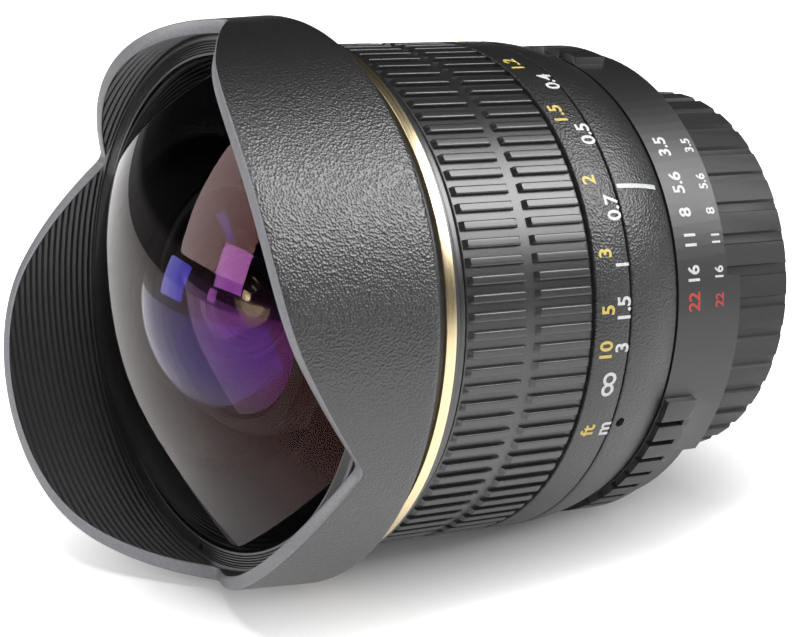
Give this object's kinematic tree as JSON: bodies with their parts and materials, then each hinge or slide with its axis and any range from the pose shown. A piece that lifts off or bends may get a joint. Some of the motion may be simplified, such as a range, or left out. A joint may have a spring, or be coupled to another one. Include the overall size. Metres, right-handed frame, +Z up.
{
  "type": "fisheye camera lens",
  "caption": "Fisheye lens with a domed front element, fixed petal hood, rubber-ribbed focus ring, aperture ring working an iris, sliding rear optics, bayonet mount and pull-off rear cap.",
  "frame": {"origin": "centre of the mount flange's rear face, on the optical axis", "axes": "+Y along the optical axis towards the camera, front of the lens towards -Y, +Z up"},
  "size_m": [0.075, 0.0906, 0.075],
  "materials": {
    "textured_black": "stippled matte black paint",
    "satin_black": "smooth satin black anodising",
    "gloss_black": "gloss black",
    "rubber": "satin ribbed rubber",
    "gold": "bright satin gold anodising",
    "lens_glass": "coated optical glass",
    "steel": "fine turned steel",
    "mount_metal": "satin chrome plate",
    "plain_aluminium": "machined aluminium",
    "blade_black": "matte blackened spring steel",
    "cap_plastic": "satin black moulded plastic"
  },
  "bodies": {
    "lens_body": {"hood": "textured_black", "front_bezel": "satin_black", "front_element": "lens_glass", "front_cell": "satin_black", "second_element": "lens_glass", "second_retainer": "satin_black", "third_element": "lens_glass", "fourth_element": "lens_glass", "doublet_retainer": "satin_black", "hood_screws": "steel", "gold_ring": "gold", "trim_ring": "gloss_black", "main_barrel": "satin_black", "index_barrel": "textured_black", "set_screws": "steel", "guide_tube": "satin_black", "guide_screws": "steel", "sleeve_clip": "steel", "iris_base": "satin_black", "iris_cover": "satin_black", "iris_screws": "steel", "mount_ring": "mount_metal", "mount_screws": "steel", "rear_baffle": "cap_plastic", "baffle_screws": "steel", "detent_ball": "steel", "detent_spring": "steel"},
    "focus": {"focus_ring": "textured_black", "rubber_grip": "rubber", "focus_key": "steel", "key_screws": "steel", "cam_sleeve": "plain_aluminium"},
    "rear_group": {"rear_cell": "satin_black", "cam_followers": "gold", "fifth_element": "lens_glass", "sixth_element": "lens_glass", "front_spacer": "satin_black", "seventh_element": "lens_glass", "eighth_element": "lens_glass", "middle_spacer": "satin_black", "ninth_element": "lens_glass", "rear_spacer": "satin_black", "tenth_element": "lens_glass", "rear_retainer": "satin_black"},
    "aperture": {"aperture_ring": "satin_black", "drive_pin": "steel"},
    "iris_drive": {"iris_actuator": "plain_aluminium"},
    "blade_1": {"blade_1": "blade_black"},
    "blade_2": {"blade_2": "blade_black"},
    "blade_3": {"blade_3": "blade_black"},
    "blade_4": {"blade_4": "blade_black"},
    "blade_5": {"blade_5": "blade_black"},
    "blade_6": {"blade_6": "blade_black"},
    "cap": {"rear_cap": "cap_plastic"}
  },
  "joints": [
    {"name": "focus_turn", "type": "hinge", "parent": "lens_body", "child": "focus", "pos_m": [0, -0.03, 0], "axis": [0, -1, 0], "range_deg": [-62.65, 44.75]},
    {"name": "rear_group_slide", "type": "slide", "parent": "lens_body", "child": "rear_group", "axis": [0, -1, 0], "range_m": [-0.00092, 0.00129]},
    {"name": "aperture_turn", "type": "hinge", "parent": "lens_body", "child": "aperture", "pos_m": [0, -0.006, 0], "axis": [0, -1, 0], "range_deg": [-11.3, 27.9]},
    {"name": "iris_drive_turn", "type": "hinge", "parent": "lens_body", "child": "iris_drive", "pos_m": [0, -0.031, 0], "axis": [0, -1, 0], "range_deg": [-11.4, 28]},
    {"name": "blade_1_swing", "type": "hinge", "parent": "lens_body", "child": "blade_1", "pos_m": [0.00958, -0.0288, 0.00722], "axis": [0, -1, 0], "range_deg": [-5, 12.2]},
    {"name": "blade_2_swing", "type": "hinge", "parent": "lens_body", "child": "blade_2", "pos_m": [-0.00146, -0.0291, 0.01191], "axis": [0, -1, 0], "range_deg": [-5, 12.2]},
    {"name": "blade_3_swing", "type": "hinge", "parent": "lens_body", "child": "blade_3", "pos_m": [-0.01105, -0.0294, 0.00469], "axis": [0, -1, 0], "range_deg": [-5, 12.2]},
    {"name": "blade_4_swing", "type": "hinge", "parent": "lens_body", "child": "blade_4", "pos_m": [-0.00958, -0.0297, -0.00722], "axis": [0, -1, 0], "range_deg": [-5, 12.2]},
    {"name": "blade_5_swing", "type": "hinge", "parent": "lens_body", "child": "blade_5", "pos_m": [0.00146, -0.03, -0.01191], "axis": [0, -1, 0], "range_deg": [-5, 12.2]},
    {"name": "blade_6_swing", "type": "hinge", "parent": "lens_body", "child": "blade_6", "pos_m": [0.01105, -0.0303, -0.00469], "axis": [0, -1, 0], "range_deg": [-5, 12.2]},
    {"name": "cap_pull", "type": "slide", "parent": "lens_body", "child": "cap", "axis": [0, 1, 0], "range_m": [0, 0.06]}
  ],
  "couplings": [
    {"joint": "rear_group_slide", "follows": "focus_turn", "m_per_rad": -0.0011737},
    {"joint": "iris_drive_turn", "follows": "aperture_turn", "ratio": 1},
    {"joint": "blade_1_swing", "follows": "aperture_turn", "ratio": 0.433},
    {"joint": "blade_2_swing", "follows": "aperture_turn", "ratio": 0.433},
    {"joint": "blade_3_swing", "follows": "aperture_turn", "ratio": 0.433},
    {"joint": "blade_4_swing", "follows": "aperture_turn", "ratio": 0.433},
    {"joint": "blade_5_swing", "follows": "aperture_turn", "ratio": 0.433},
    {"joint": "blade_6_swing", "follows": "aperture_turn", "ratio": 0.433}
  ]
}
